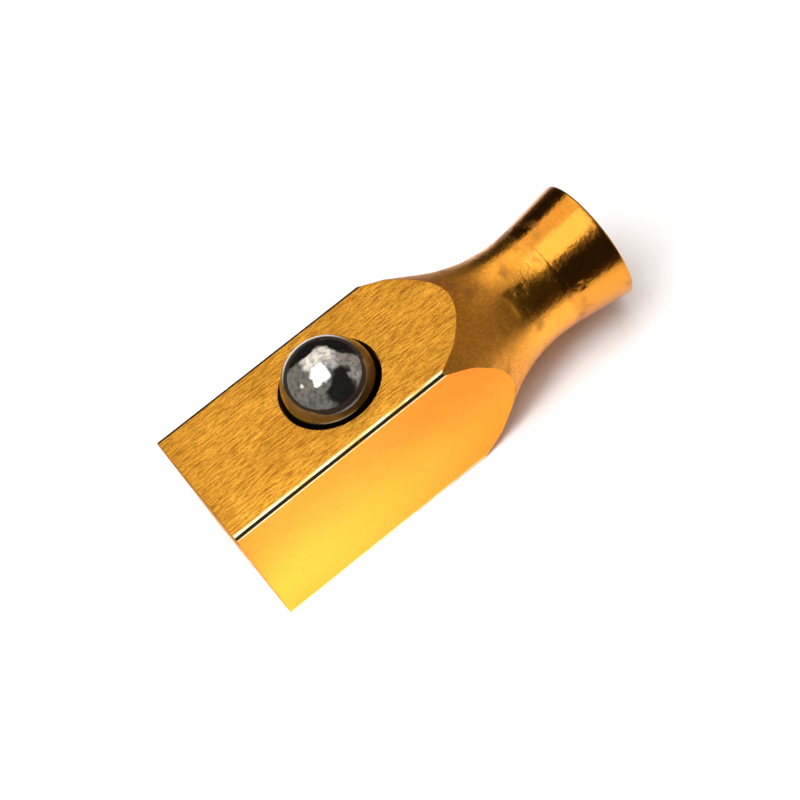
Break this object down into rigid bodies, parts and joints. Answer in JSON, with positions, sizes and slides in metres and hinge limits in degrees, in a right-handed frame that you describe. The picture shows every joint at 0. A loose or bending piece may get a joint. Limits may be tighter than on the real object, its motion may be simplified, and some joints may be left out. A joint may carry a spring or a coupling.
{
  "type": "spring catch fitting",
  "caption": "Gilt square-shank fitting with a spring-loaded ball-nosed steel plunger in one flat, a waisted neck and a flared round end.",
  "frame": {"origin": "centre of the bounding box's underside, which is the flat the part lies on", "axes": "+X along the body towards the flared end, +Z out of the flat that the plunger stands out of, +Y across the shank"},
  "size_m": [0.0288, 0.0096, 0.0124],
  "materials": {
    "gilt_brass": "gold-coloured; grained on the upper flat, satin on the other flats, polished on the neck and flare",
    "plunger_steel": "mirror-polished steel",
    "spring_steel": "drawn spring wire",
    "plug_brass": "turned"
  },
  "bodies": {
    "shank": {"body": "gilt_brass", "spring_plug": "plug_brass", "plunger_spring": "spring_steel"},
    "plunger": {"ball_plunger": "plunger_steel"}
  },
  "joints": [
    {"name": "plunger_press", "type": "slide", "parent": "shank", "child": "plunger", "axis": [0, 0, -1], "range_m": [0, 0.00284], "stiffness_N_per_m": 1500, "springref_m": -0.001, "deforming": ["plunger_spring"]}
  ]
}
